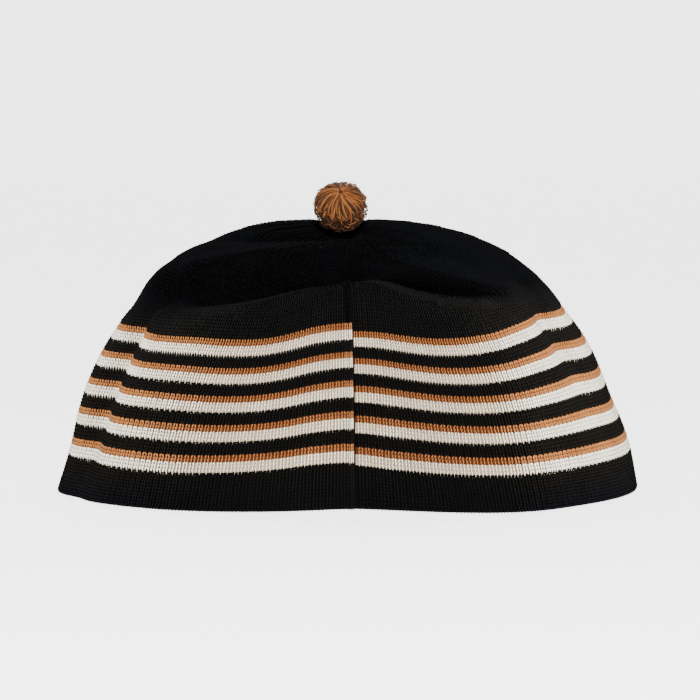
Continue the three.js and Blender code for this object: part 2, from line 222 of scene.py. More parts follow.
# The panel's left edge was sewn on a little higher than its right edge, and more so further up
seam_step_courses = 2.7
seam_step_spread = 22
shift_fade_courses = 50
# The fabric is stretched unevenly: how many courses its lines lie above their even places, at the lowest
# stripe and at the highest one
LINE_SHIFTS = (
    dict(azimuth=90, lowest=-1.3, highest=0.0), dict(azimuth=180, lowest=-1.5, highest=-0.5),
    dict(azimuth=208, lowest=-1.6, highest=-1.2), dict(azimuth=222, lowest=-1.6, highest=-0.1),
    dict(azimuth=241, lowest=-0.7, highest=0.0), dict(azimuth=256, lowest=-0.2, highest=0.7),
    dict(azimuth=269, lowest=-0.6, highest=0.5), dict(azimuth=283, lowest=-1.6, highest=0.7),
    dict(azimuth=298, lowest=-1.7, highest=0.1), dict(azimuth=318, lowest=-1.6, highest=-0.3),
    dict(azimuth=334, lowest=-1.5, highest=0.7), dict(azimuth=355, lowest=-1.3, highest=0.0),
)


def raised_courses(azimuth, course):
    """How many courses a line lies above its even place."""
    left_of_seam = np.mod(seam_azimuth - azimuth, 360)
    step = seam_step_courses / (1 + (left_of_seam / seam_step_spread) ** 4)
    step = step * np.clip(course / striped_top, 0, 1)
    at = [row["azimuth"] for row in LINE_SHIFTS]
    lowest, highest = (np.interp(azimuth, at, [row[key] for row in LINE_SHIFTS], period=360)
                       for key in ("lowest", "highest"))
    upper = np.clip((course - hem_courses) / (striped_top - hem_courses), 0, 1)
    shift = (lowest + (highest - lowest) * upper) * np.clip(course / hem_courses, 0, 1)
    return (step + shift) * np.clip((all_courses - course) / shift_fade_courses, 0, 1)


def course_to_up(azimuth, course):
    """How far up the fabric a course's line is, as a share."""
    return np.clip((course + raised_courses(azimuth, course)) / all_courses, 0, 1)


# The seam's groove runs just right of the seam
groove_depth = 0.9
groove_azimuth = 2.3
groove_width = 0.8
groove_fade_courses = 20
# The ground is painted black for this many wales right of the seam, as the groove's shadow
groove_shadow_wales = 1.1
ground_columns = 216
ground_rows_outside = 90
ground_rows_inside = 44


def ground_rings():
    """Rings of points from the eye down the inside, round the hem and up the outside, and their courses."""
    even = np.arange(ground_columns) * 360 / ground_columns
    extra = np.array([-3.0, -2.3, -1.1, -0.5, 0.6, 1.1, 2.0, 2.4, 2.8, 4.0])
    around = seam_azimuth + np.unique(np.concatenate([even, np.mod(extra, 360)]))
    groove = -groove_depth * bell((around - seam_azimuth - groove_azimuth) / groove_width)
    rings, courses = [], []
    for course in np.linspace(all_courses, 1, ground_rows_inside):
        rings.append(fabric(around, course / all_courses, -fabric_thickness, pleated=False))
        courses.append(course)
    for out, lift in ((-fabric_thickness, 0.5), (-1.5, 0.12), (-0.8, 0.12), (-ground_depth, 0.5)):
        ring = fabric(around, 0.0, out)
        ring[:, 2] = lift
        rings.append(ring)
        courses.append(0.0)
    for course in np.linspace(1, all_courses, ground_rows_outside):
        fade = min((all_courses - course) / groove_fade_courses, 1)
        rings.append(fabric(around, course / all_courses, groove * fade - ground_depth))
        courses.append(course)
    return around, np.array(rings), np.array(courses)


def mesh_from(name, points_mm, faces):
    mesh = bpy.data.meshes.new(name)
    mesh.from_pydata((np.asarray(points_mm) * MM).tolist(), [], faces)
    mesh.shade_smooth()
    mesh.update()
    return mesh


def object_from(name, mesh):
    piece = bpy.data.objects.new(name, mesh)
    bpy.context.scene.collection.objects.link(piece)
    return piece


def add_uv(mesh, name, values):
    """A UV map from one row of two numbers for each corner of the mesh."""
    layer = mesh.uv_layers.new(name=name)
    layer.data.foreach_set("uv", np.asarray(values, np.float32).ravel())


def ground_mesh():
    around, rings, courses = ground_rings()
    ring_count, columns = rings.shape[:2]
    points = np.concatenate([rings.reshape(-1, 3), rings[[0, -1]].mean(1)])
    inner_pole, outer_pole = len(points) - 2, len(points) - 1
    travel = np.linalg.norm(np.diff(rings, axis=0), axis=2).mean(1)
    down_map = 0.02 + 0.96 * np.concatenate([[0], np.cumsum(travel)]) / travel.sum()
    faces, bake_map, knit_map = [], [], []
    lift = raised_courses(np.append(around, around[0] + 359.99), courses[:, None])

    def corner(ring, column):
        azimuth = around[0] + 360 if column == columns else around[column]
        course = courses[ring] - lift[ring, column]
        bake_map.append((column / columns, down_map[ring]))
        knit_map.append(((azimuth - seam_azimuth) / 360 * wales, course))
        return ring * columns + column % columns

    for ring in range(ring_count - 1):
        for column in range(columns):
            faces.append([corner(ring, column), corner(ring, column + 1),
                          corner(ring + 1, column + 1), corner(ring + 1, column)])
    for ring, pole, edge in ((0, inner_pole, 0.0), (ring_count - 1, outer_pole, 1.0)):
        for column in range(columns):
            order = (column + 1, column) if ring == 0 else (column, column + 1)
            faces.append([corner(ring, order[0]), corner(ring, order[1]), pole])
            bake_map.append(((column + 0.5) / columns, edge))
            knit_map.append(((column + 0.5) / columns * wales, all_courses))
    mesh = mesh_from("knitted_ground", points, faces)
    add_uv(mesh, "OFBake", bake_map)
    add_uv(mesh, "Knit", knit_map)
    return mesh


# The three yarns: lit is the colour of a strand's face, and deep is painted shade, the colour of the hollows
# between strands
YARNS = dict(
    black=dict(lit=(0.0026, 0.0026, 0.0030), deep=(0.0004, 0.0004, 0.0005), gloss=0.012, slot="black_yarn"),
    white=dict(lit=(0.97, 0.925, 0.79), deep=(0.22, 0.17, 0.115), gloss=0.15, slot="white_yarn"),
    tan=dict(lit=(0.39, 0.150, 0.041), deep=(0.045, 0.010, 0.0015), gloss=0.12, slot="tan_yarn"),
)


def socket_values(node, **values):
    for name, value in values.items():
        node.inputs[name.replace("_", " ")].default_value = value
    return node


def add_node(tree, kind, label="", **settings):
    node = tree.nodes.new(kind)
    node.label = label
    for name, value in settings.items():
        setattr(node, name, value)
    return node


def math_node(tree, operation, first, second=None):
    """A Math node on two sockets or numbers, and its output."""
    node = add_node(tree, "ShaderNodeMath", operation=operation)
    for socket, value in zip(node.inputs, (first, second)):
        if isinstance(value, bpy.types.NodeSocket):
            tree.links.new(value, socket)
        elif value is not None:
            socket.default_value = value
    return node.outputs[0]


def yarn_group():
    """Spun yarn: uneven dye, fine fibres, and the hollows between them darker and rougher, with painted shade
    towards the deep colour added from the Hollows input.
    """
    group = bpy.data.node_groups.new("spun_yarn", "ShaderNodeTree")
    color, number = "NodeSocketColor", "NodeSocketFloat"
    for name, kind in (("Lit", color), ("Deep", color), ("Hollows", number)):
        group.interface.new_socket(name, in_out="INPUT", socket_type=kind)
    for name, kind in (("Color", color), ("Roughness", number), ("Height", number)):
        group.interface.new_socket(name, in_out="OUTPUT", socket_type=kind)
    links = group.links
    start, end = add_node(group, "NodeGroupInput"), add_node(group, "NodeGroupOutput")
    place = add_node(group, "ShaderNodeTexCoord").outputs["Object"]
    dye_and_painted_shade = socket_values(add_node(group, "ShaderNodeTexNoise", "uneven dye"), Scale=130.0, Detail=2.0)
    fibre = add_node(group, "ShaderNodeTexNoise", "fibres")
    socket_values(fibre, Scale=2600.0, Detail=3.0, Roughness=0.7)
    links.new(place, dye_and_painted_shade.inputs["Vector"])
    links.new(place, fibre.inputs["Vector"])
    shade = math_node(group, "MULTIPLY_ADD", fibre.outputs["Fac"], 0.9)
    shade.node.inputs[2].default_value = -0.28
    shade = math_node(group, "ADD", shade, math_node(group, "MULTIPLY", dye_and_painted_shade.outputs["Fac"], 0.35))
    shade = math_node(group, "ADD", shade, start.outputs["Hollows"])
    shade.node.use_clamp = True
    mix = add_node(group, "ShaderNodeMix", "dye_and_painted_shade", data_type="RGBA")
    links.new(shade, mix.inputs["Factor"])
    links.new(start.outputs["Lit"], mix.inputs["A"])
    links.new(start.outputs["Deep"], mix.inputs["B"])
    links.new(mix.outputs["Result"], end.inputs["Color"])
    rough = math_node(group, "MULTIPLY_ADD", fibre.outputs["Fac"], 0.3)
    rough.node.inputs[2].default_value = 0.68
    links.new(rough, end.inputs["Roughness"])
    links.new(fibre.outputs["Fac"], end.inputs["Height"])
    return group


spun_yarn = yarn_group()


def yarn_material(name, lit, deep, gloss, hollows=0.0):
    """A yarn's own shader around the spun yarn group."""
    material = bpy.data.materials.new(name)
    material.use_nodes = True
    tree = material.node_tree
    shader = tree.nodes["Principled BSDF"]
    socket_values(shader, Specular_IOR_Level=gloss, Sheen_Weight=gloss / 4, Sheen_Roughness=0.5)
    yarn = add_node(tree, "ShaderNodeGroup", "yarn", node_tree=spun_yarn)
    socket_values(yarn, Lit=(*lit, 1), Deep=(*deep, 1))
    # Painted shade towards the deep colour: from the hollow attribute, which is painted shade at the ends of
    # stitch legs and random tone on pompom strands, and from a share given for the whole piece
    between = add_node(tree, "ShaderNodeAttribute", "between the legs", attribute_name="hollow")
    between = math_node(tree, "POWER", between.outputs["Fac"], 1.7)
    tree.links.new(math_node(tree, "ADD", between, hollows), yarn.inputs["Hollows"])
    fuzz = socket_values(add_node(tree, "ShaderNodeBump", "fibres"), Strength=0.8, Distance=0.00015)
    tree.links.new(yarn.outputs["Color"], shader.inputs["Base Color"])
    tree.links.new(yarn.outputs["Roughness"], shader.inputs["Roughness"])
    tree.links.new(yarn.outputs["Height"], fuzz.inputs["Height"])
    tree.links.new(fuzz.outputs["Normal"], shader.inputs["Normal"])
    return material


def ground_material():
    """Striped ground: the stripe comes from the course, and purl bumps from wale and course."""
    black = YARNS["black"]
    # The whole ground, inside and out, is painted 0.8 of the way to the deep colour, as shade between and
    # behind the stitches
    material = yarn_material("knitted_ground", black["lit"], black["deep"], 0.03, hollows=0.8)
    tree = material.node_tree
    knit = add_node(tree, "ShaderNodeUVMap", "wale and course", uv_map="Knit")
    split = add_node(tree, "ShaderNodeSeparateXYZ")
    tree.links.new(knit.outputs["UV"], split.inputs[0])
    wale, course = split.outputs["X"], split.outputs["Y"]
    above_hem = math_node(tree, "SUBTRACT", course, float(hem_courses))
    phase = math_node(tree, "MODULO", above_hem, float(repeat_courses))
    striped = math_node(tree, "MULTIPLY", math_node(tree, "GREATER_THAN", above_hem, 0.0),
                        math_node(tree, "LESS_THAN", course, float(striped_top)))
    # Painted shadow: the ground is black, not striped, in the groove just right of the seam
    groove_shadow = math_node(tree, "LESS_THAN", wale, groove_shadow_wales)
    striped = math_node(tree, "MULTIPLY", striped, math_node(tree, "SUBTRACT", 1.0, groove_shadow))
    white = math_node(tree, "MULTIPLY", striped, math_node(tree, "LESS_THAN", phase, float(white_courses)))
    light = math_node(tree, "LESS_THAN", phase, float(white_courses + tan_courses))
    light = math_node(tree, "MULTIPLY", striped, light)
    yarn = next(node for node in tree.nodes if node.label == "yarn")
    for socket in ("Lit", "Deep"):
        first = add_node(tree, "ShaderNodeMix", "tan on black", data_type="RGBA")
        second = add_node(tree, "ShaderNodeMix", "white on tan", data_type="RGBA")
        first.inputs["A"].default_value = (*YARNS["black"][socket.lower()], 1)
        first.inputs["B"].default_value = (*YARNS["tan"][socket.lower()], 1)
        second.inputs["B"].default_value = (*YARNS["white"][socket.lower()], 1)
        tree.links.new(light, first.inputs["Factor"])
        tree.links.new(white, second.inputs["Factor"])
        tree.links.new(first.outputs["Result"], second.inputs["A"])
        tree.links.new(second.outputs["Result"], yarn.inputs[socket])
    across = math_node(tree, "PINGPONG", wale, 0.5)
    along = math_node(tree, "PINGPONG", course, 0.5)
    purl = socket_values(add_node(tree, "ShaderNodeBump", "purl side"), Strength=1.0, Distance=0.0008)
    tree.links.new(math_node(tree, "MULTIPLY", across, along), purl.inputs["Height"])
    fuzz = next(node for node in tree.nodes if node.label == "fibres")
    tree.links.new(purl.outputs["Normal"], fuzz.inputs["Normal"])
    return material


ground = object_from("knitted_ground", ground_mesh())
ground.data.materials.append(ground_material())
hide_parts("knitted_body")
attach(ground, "root")


# The stitches are stocking stitch worked from the crown down, so each one is a small arch of yarn with
# its legs spread downwards. Each leg is its own spindle of yarn, and its ends dip into the fabric.
# The last value of each ring is the painted shade at its foot
LEG_RINGS = (
    dict(across=0.215, along=0.30, half_width=0.150, height=0.44, foot_painted_shade=0.9),
    dict(across=0.262, along=-0.40, half_width=0.095, height=0.27, foot_painted_shade=1.2),
)
LEG_TIPS = (dict(across=0.12, along=0.82, height=-0.12), dict(across=0.25, along=-1.34, height=-0.02))
leg_foot = -0.15
# How much painted shade darkens the two ends of a leg, where they dip into the hollows, as the last value of
# each ring does at its foot
head_painted_shade = 0.8
end_painted_shade = 0.6


def add_attribute(mesh, name, values):
    """A number or a vector on every point."""
    values = np.asarray(values, np.float32)
    vectors = values.ndim == 2
    layer = mesh.attributes.new(name, "FLOAT_VECTOR" if vectors else "FLOAT", "POINT")
    layer.data.foreach_set("vector" if vectors else "value", values.ravel())


def stitch_mesh():
    """Two legs in shares of a wale across, a course along and a wale out."""
    points, faces, hollows = [], [], []
    for side in (-1, 1):
        first = len(points)
        points.append((side * LEG_TIPS[0]["across"], LEG_TIPS[0]["along"], LEG_TIPS[0]["height"]))
        for ring in LEG_RINGS:
            middle = side * ring["across"]
            points.append((middle - ring["half_width"], ring["along"], leg_foot))
            points.append((middle, ring["along"], ring["height"]))
            points.append((middle + ring["half_width"], ring["along"], leg_foot))
        points.append((side * LEG_TIPS[1]["across"], LEG_TIPS[1]["along"], LEG_TIPS[1]["height"]))
        # Painted shade on each point: darker at the leg's ends and the feet of its rings, none on its crest
        hollows.append(head_painted_shade)
        for ring in LEG_RINGS:
            hollows += [ring["foot_painted_shade"], 0.0, ring["foot_painted_shade"]]
        hollows.append(end_painted_shade)
        for a in range(3):
            b = (a + 1) % 3
            faces.append([first, first + 1 + a, first + 1 + b])
            faces.append([first + 1 + a, first + 4 + a, first + 4 + b, first + 1 + b])
            faces.append([first + 7, first + 4 + b, first + 4 + a])
    mesh = bpy.data.meshes.new("stitch")
    mesh.from_pydata(points, [], faces)
    mesh.shade_smooth()
    add_attribute(mesh, "hollow", hollows)
    return mesh


stitch = object_from("stitch_pattern", stitch_mesh())


def knitting_tree():
    """Sets a stitch on every point, square to the fabric and as wide and tall as its wale and course."""
    tree = bpy.data.node_groups.new("knitting", "GeometryNodeTree")
    tree.is_modifier = True
    inputs = (("Geometry", "NodeSocketGeometry"), ("Stitch", "NodeSocketObject"),
              ("Yarn", "NodeSocketMaterial"), ("Fullness", "NodeSocketFloat"),
              ("Unevenness", "NodeSocketFloat"))
    for name, kind in inputs:
        tree.interface.new_socket(name, in_out="INPUT", socket_type=kind)
    tree.interface.new_socket("Geometry", in_out="OUTPUT", socket_type="NodeSocketGeometry")
    links = tree.links
    start, end = add_node(tree, "NodeGroupInput"), add_node(tree, "NodeGroupOutput")

    def attribute(name, kind):
        node = add_node(tree, "GeometryNodeInputNamedAttribute", name, data_type=kind)
        node.inputs["Name"].default_value = name
        return node.outputs["Attribute"]

    axes = add_node(tree, "FunctionNodeAxesToRotation", primary_axis="Z", secondary_axis="X")
    links.new(attribute("outward", "FLOAT_VECTOR"), axes.inputs["Primary Axis"])
    links.new(attribute("across", "FLOAT_VECTOR"), axes.inputs["Secondary Axis"])
    uneven = add_node(tree, "FunctionNodeRandomValue", "unevenness", data_type="FLOAT_VECTOR")
    uneven.inputs["Seed"].default_value = 7
    for limit, way in (("Min", (-1, -1, -1)), ("Max", (1, 1, 1))):
        spread = add_node(tree, "ShaderNodeVectorMath", operation="SCALE")
        spread.inputs[0].default_value = way
        links.new(start.outputs["Unevenness"], spread.inputs["Scale"])
        links.new(spread.outputs[0], uneven.inputs[limit])
    twist = add_node(tree, "FunctionNodeEulerToRotation")
    links.new(uneven.outputs["Value"], twist.inputs["Euler"])
    turned = add_node(tree, "FunctionNodeRotateRotation", rotation_space="LOCAL")
    links.new(axes.outputs["Rotation"], turned.inputs["Rotation"])
    links.new(twist.outputs["Rotation"], turned.inputs["Rotate By"])
    pitch, rise = attribute("pitch", "FLOAT"), attribute("rise", "FLOAT")
    size = add_node(tree, "ShaderNodeCombineXYZ")
    links.new(pitch, size.inputs["X"])
    links.new(rise, size.inputs["Y"])
    links.new(math_node(tree, "MULTIPLY", pitch, start.outputs["Fullness"]), size.inputs["Z"])
    pattern = add_node(tree, "GeometryNodeObjectInfo")
    links.new(start.outputs["Stitch"], pattern.inputs["Object"])
    place = add_node(tree, "GeometryNodeInstanceOnPoints")
    links.new(start.outputs["Geometry"], place.inputs["Points"])
    links.new(pattern.outputs["Geometry"], place.inputs["Instance"])
    links.new(turned.outputs["Rotation"], place.inputs["Rotation"])
    links.new(size.outputs["Vector"], place.inputs["Scale"])
    realized = add_node(tree, "GeometryNodeRealizeInstances")
    painted = add_node(tree, "GeometryNodeSetMaterial")
    links.new(place.outputs["Instances"], realized.inputs["Geometry"])
    links.new(realized.outputs["Geometry"], painted.inputs["Geometry"])
    links.new(start.outputs["Yarn"], painted.inputs["Material"])
    links.new(painted.outputs["Geometry"], end.inputs["Geometry"])
    return tree


knitting = knitting_tree()


def set_inputs(modifier, values):
    """Sets a modifier's inputs by the identifiers of its tree's sockets."""
    for item in modifier.node_group.interface.items_tree:
        if item.in_out == "INPUT" and item.name in values:
            modifier[item.identifier] = values[item.name]


def evaluated(piece, tree, values):
    """The piece's mesh after the tree, as a plain mesh of its own."""
    modifier = piece.modifiers.new("make", "NODES")
    modifier.node_group = tree
    set_inputs(modifier, values)
    depsgraph = bpy.context.evaluated_depsgraph_get()
    mesh = bpy.data.meshes.new_from_object(piece.evaluated_get(depsgraph))
    piece.modifiers.remove(modifier)
    piece.data = mesh
    return piece


def face_map(mesh):
    """A UV map for baking many small faces: each face has a square cell of its own in one grid."""
    count = len(mesh.polygons)
    sides, first = np.empty(count, np.int32), np.empty(count, np.int32)
    mesh.polygons.foreach_get("loop_total", sides)
    mesh.polygons.foreach_get("loop_start", first)
    face = np.repeat(np.arange(count), sides)
    corner = np.arange(len(face)) - np.repeat(first, sides)
    turn = 2 * math.pi * (corner + 0.5) / sides[face]
    cells = math.ceil(math.sqrt(count))
    middle = np.stack([face % cells, face // cells], -1) + 0.5
    add_uv(mesh, "OFBake", (middle + 0.58 * np.stack([np.cos(turn), np.sin(turn)], -1)) / cells)


# Wales lost by the decrease rounds of the crown: the course that each round starts at
DECREASES = (
    dict(course=0, wales=216), dict(course=63, wales=190), dict(course=74, wales=160),
    dict(course=84, wales=125), dict(course=93, wales=96), dict(course=101, wales=70),
    dict(course=108, wales=48), dict(course=115, wales=26),
)
side_squeeze = -0.15
squeezed_share = 0.62
line_samples = 721
panel_right_of_seam = 2.9
panel_left_of_seam = 1.5


def lay_course(course):
    """Azimuths of a course's wales: even along the fabric, a little wider on the two ends of the cap."""
    count = [row["wales"] for row in DECREASES if row["course"] <= course][-1]
    narrowed = max(1 - course / all_courses, 0.1)
    fine = seam_azimuth + np.linspace(panel_right_of_seam * narrowed,
                                      360 - panel_left_of_seam * narrowed, line_samples)
    line = slumped(fine, course_to_up(fine, course + 0.5))
    steps = np.linalg.norm(np.diff(line, axis=0), axis=1)
    middles = np.radians((fine[1:] + fine[:-1]) / 2)
    squeeze = side_squeeze * min(course / striped_top, 1) * (course < all_courses * squeezed_share)
    weights = steps / (1 - squeeze * np.cos(middles) ** 2)
    total = np.concatenate([[0], np.cumsum(weights)])
    return np.interp((np.arange(count) + 0.5) / count * total[-1], total, fine)


# The left panel's edge stands up as a rib along the seam, and two wales of its stitches run over it
seam_head = 0.95
rib_half_width = 1.3
rib_height = 0.9
rib_wales = (dict(across=-0.62, tilt=-0.45), dict(across=0.55, tilt=0.45))
rib_wale_pitch = 1.35
lowest_yarn = 0.05


def rib_rise(across):
    """Height of the rib at a distance from its middle, in millimetres."""
    return rib_height * np.sqrt(np.clip(1 - (across / rib_half_width) ** 2, 0, 1))


def beside_seam(across, up):
    """Azimuth of a line that runs along the seam at a distance from it in millimetres."""
    here = slumped(seam_azimuth, up)
    degree = np.linalg.norm(slumped(seam_azimuth + 1, up) - here, axis=-1)
    return seam_azimuth + across / degree


# The black yarn's colour by course is painted light and shade: a painted cool bluish light at the hem, the
# warm lit colour on the wall, and painted shade, darkest and bluish, on the crown
BLACK_PAINTED_SHADES = (
    dict(course=0, lit=(0.0046, 0.0049, 0.0070)), dict(course=12, lit=(0.0086, 0.0075, 0.0055)),
    dict(course=62, lit=(0.0084, 0.0080, 0.0077)), dict(course=71, lit=(0.0019, 0.0021, 0.0029)),
    dict(course=121, lit=(0.0013, 0.0015, 0.0021)),
)
# Painted shade: above the stripes, the painted colour of a course this many higher is used on the cap's two
# ends, and on the rib, which is painted dark there in place of the groove beside it
CROWN_DARK_REACH = (dict(azimuth=196, courses=11, wide=26), dict(azimuth=350, courses=8, wide=20))
rib_dark_reach = 18


def painted_shade_by_course(material, depth=0.10):
    """Takes a material's yarn colours from an attribute of its points that holds the black's colour with
    painted light and shade; deep is a darker share of it.
    """
    tree = material.node_tree
    yarn = next(node for node in tree.nodes if node.label == "yarn")
    dye_and_painted_shade = add_node(tree, "ShaderNodeAttribute", "dye_and_painted_shade", attribute_name="dye_and_painted_shade")
    deep = add_node(tree, "ShaderNodeVectorMath", operation="SCALE")
    deep.inputs["Scale"].default_value = depth
    tree.links.new(dye_and_painted_shade.outputs["Vector"], deep.inputs[0])
    tree.links.new(dye_and_painted_shade.outputs["Vector"], yarn.inputs["Lit"])
    tree.links.new(deep.outputs["Vector"], yarn.inputs["Deep"])


def knit(name, courses, yarn, material, fullness=1.0, unevenness=0.08):
    """Knits the courses as one piece in one yarn."""
    rows = []
    for course in courses:
        around = lay_course(course)
        up = course_to_up(around, course + 0.5)
        rise = np.linalg.norm(fabric(around, course_to_up(around, course + 1))
                              - fabric(around, course_to_up(around, course)), axis=1)
        pitch = np.linalg.norm(np.diff(slumped(around, up), axis=0), axis=1)
        # Painted shade: above the stripes the cap's two ends take the darker colour of higher courses, and
        # the rib more so
        dark_reach = sum(end["courses"] * bell(turn_between(end["azimuth"], around) / end["wide"])
                         for end in CROWN_DARK_REACH)
        above_stripes = course >= striped_top
        rows.append(dict(place=fabric(around, up), axes=fabric_axes(around, up), rise=rise,
                         pitch=np.append(pitch, pitch[-1]), shade=course + dark_reach * above_stripes))
        seam_up = course_to_up(seam_azimuth, course + 0.5)
        for wale in rib_wales:
            if seam_up < seam_head:
                line = np.array([beside_seam(wale["across"], seam_up)])
                across, upward, outward = fabric_axes(line, seam_up)
                tilted = unit(outward + across * wale["tilt"])
                rows.append(dict(place=fabric(line, seam_up, rib_rise(wale["across"])),
                                 axes=(across, upward, tilted), rise=rise[-1:],
                                 pitch=[rib_wale_pitch],
                                 shade=[course + rib_dark_reach * above_stripes]))
    mesh = mesh_from(name, np.concatenate([row["place"] for row in rows]), [])
    add_attribute(mesh, "across", np.concatenate([row["axes"][0] for row in rows]))
    add_attribute(mesh, "outward", np.concatenate([row["axes"][2] for row in rows]))
    add_attribute(mesh, "rise", np.clip(np.concatenate([row["rise"] for row in rows]), 0.55, 1.9) * MM)
    add_attribute(mesh, "pitch", np.concatenate([row["pitch"] for row in rows]) * MM)
    # The black stitches' colour is painted light and shade, taken by course from the table of painted shades
    if yarn == "black":
        painted_black_shades = np.array([dye_and_painted_shade["lit"] for dye_and_painted_shade in BLACK_PAINTED_SHADES])
        at = [dye_and_painted_shade["course"] for dye_and_painted_shade in BLACK_PAINTED_SHADES]
        shade = np.concatenate([row["shade"] for row in rows])
        add_attribute(mesh, "dye_and_painted_shade", np.stack([np.interp(shade, at, painted_black_shades[:, i]) for i in range(3)], -1))
    piece = evaluated(object_from(name, mesh), knitting, {
        "Stitch": stitch, "Yarn": material, "Fullness": fullness, "Unevenness": unevenness})
    heights = np.empty(len(piece.data.vertices) * 3)
    piece.data.vertices.foreach_get("co", heights)
    heights[2::3] = np.maximum(heights[2::3], lowest_yarn * MM)
    piece.data.vertices.foreach_set("co", heights)
    face_map(piece.data)
    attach(piece, "root")
    return piece


def stripe_courses(offset, count):
    """Courses of one stripe in every repeat, counted from the repeat's first course."""
    return [hem_courses + repeat * repeat_courses + offset + course
            for repeat in range(stripe_repeats) for course in range(count)]


yarns = {name: yarn_material(f"{name}_yarn", yarn["lit"], yarn["deep"], yarn["gloss"])
         for name, yarn in YARNS.items()}
painted_shade_by_course(yarns["black"])
between = [course for course in stripe_courses(white_courses + tan_courses, black_courses)
           if course < striped_top]
knit("black_wall_stitches", list(range(hem_courses)) + between, "black", yarns["black"])
knit("white_stripe_stitches", stripe_courses(0, white_courses), "white", yarns["white"])
knit("tan_stripe_stitches", stripe_courses(white_courses, tan_courses), "tan", yarns["tan"])
crown_split = 76
knit("crown_stitches", range(striped_top, crown_split), "black", yarns["black"], 1.25, 0.13)
knit("crown_top_stitches", range(crown_split, all_courses - 1), "black", yarns["black"], 1.25, 0.13)


bpy.data.objects.remove(stitch)


# The rib of the seam is the turned edge of the left panel, so its stripes are that panel's. Its foot
# goes into the ground, which is painted black just right of it as the groove's shadow, between the stripes of
# the two panels.
def rib_mesh():
    ups = np.linspace(0, seam_head, 110)
    across = rib_half_width * np.sin(np.radians(np.linspace(-90, 90, 9)))
    lines = [fabric(beside_seam(a, ups), ups, rib_rise(a) - ground_depth) for a in across]
    feet = [fabric(beside_seam(a, ups), ups, -1.2) for a in (rib_half_width, -rib_half_width)]
    rows = np.stack(lines + feet, axis=1)
    rows[0, :, 2] = 0.3
    count = rows.shape[1]
    faces = [[row * count + i, row * count + (i + 1) % count,
              (row + 1) * count + (i + 1) % count, (row + 1) * count + i]
             for row in range(len(ups) - 1) for i in range(count)]
    faces.append(list(reversed(range(count))))
    faces.append(list(range((len(ups) - 1) * count, len(ups) * count)))
    mesh = mesh_from("sewn_seam_rib", rows.reshape(-1, 3), faces)
    face_map(mesh)
    steps = [ups[mesh.loops[i].vertex_index // count] * all_courses for i in range(len(mesh.loops))]
    courses = [course - raised_courses(seam_azimuth, course) for course in steps]
    add_uv(mesh, "Knit", [(wales - 0.75, course) for course in courses])
    return mesh


rib = object_from("sewn_seam_rib", rib_mesh())
rib.data.materials.append(ground.data.materials[0])
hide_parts("sewn_seam")
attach(rib, "root")


# The tie is black thread wound six times round the neck of the pompom, where it comes up through the
# gathered eye. Loose ends and small loops of the same thread lie round its foot.
def thread_tree():
    """Turns each line of points into a round thread, as thick as its points say."""
    tree = bpy.data.node_groups.new("thread", "GeometryNodeTree")
    tree.is_modifier = True
    for name, kind in (("Geometry", "NodeSocketGeometry"), ("Yarn", "NodeSocketMaterial"),
                       ("Sides", "NodeSocketInt")):
        tree.interface.new_socket(name, in_out="INPUT", socket_type=kind)
    tree.interface.new_socket("Geometry", in_out="OUTPUT", socket_type="NodeSocketGeometry")
    start, end = add_node(tree, "NodeGroupInput"), add_node(tree, "NodeGroupOutput")
    thickness = add_node(tree, "GeometryNodeInputNamedAttribute", "radius", data_type="FLOAT")
    thickness.inputs["Name"].default_value = "thickness"
    lines = add_node(tree, "GeometryNodeMeshToCurve")
    sized = add_node(tree, "GeometryNodeSetCurveRadius")
    section = add_node(tree, "GeometryNodeCurvePrimitiveCircle")
    section.inputs["Radius"].default_value = 1.0
    round_off = add_node(tree, "GeometryNodeCurveToMesh")
    round_off.inputs["Fill Caps"].default_value = True
    smooth = add_node(tree, "GeometryNodeSetShadeSmooth")
    realized = add_node(tree, "GeometryNodeRealizeInstances")
    painted = add_node(tree, "GeometryNodeSetMaterial")
    links = tree.links
    links.new(start.outputs["Geometry"], lines.inputs["Mesh"])
    links.new(lines.outputs["Curve"], sized.inputs["Curve"])
    links.new(thickness.outputs["Attribute"], sized.inputs["Radius"])
    links.new(start.outputs["Sides"], section.inputs["Resolution"])
    links.new(sized.outputs["Curve"], round_off.inputs["Curve"])
    links.new(section.outputs["Curve"], round_off.inputs["Profile Curve"])
    if "Scale" in round_off.inputs:
        links.new(thickness.outputs["Attribute"], round_off.inputs["Scale"])
    links.new(round_off.outputs["Mesh"], smooth.inputs["Geometry"])
    links.new(smooth.outputs["Geometry"], realized.inputs["Geometry"])
    links.new(realized.outputs["Geometry"], painted.inputs["Geometry"])
    links.new(start.outputs["Yarn"], painted.inputs["Material"])
    links.new(painted.outputs["Geometry"], end.inputs["Geometry"])
    return tree


thread = thread_tree()


def spin(name, lines, material, sides=5):
    """One piece of yarn from lines of (points in millimetres, radius in millimetres, how dark it is)."""
    points, edges, radii, shades = [], [], [], []
    for line, radius, shade in lines:
        edges += [(i, i + 1) for i in range(len(points), len(points) + len(line) - 1)]
        points += list(line)
        radii += list(np.broadcast_to(radius, len(line)))
        shades += [shade] * len(line)
    mesh = bpy.data.meshes.new(name)
    mesh.from_pydata((np.array(points) * MM).tolist(), edges, [])
    add_attribute(mesh, "thickness", np.array(radii) * MM)
    add_attribute(mesh, "hollow", shades)
    return evaluated(object_from(name, mesh), thread, {"Yarn": material, "Sides": sides})


pompom_lean = math.radians(43)
pompom_axes = np.array([(1, 0, 0), (0, math.cos(pompom_lean), math.sin(pompom_lean)),
                        (0, -math.sin(pompom_lean), math.cos(pompom_lean))])
tie_length = 2.6
tie_turns = 6
tie_thread = 0.42


def node_middle(name):
    low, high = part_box(name)
    return (np.array(low) + np.array(high)) / 2 / MM


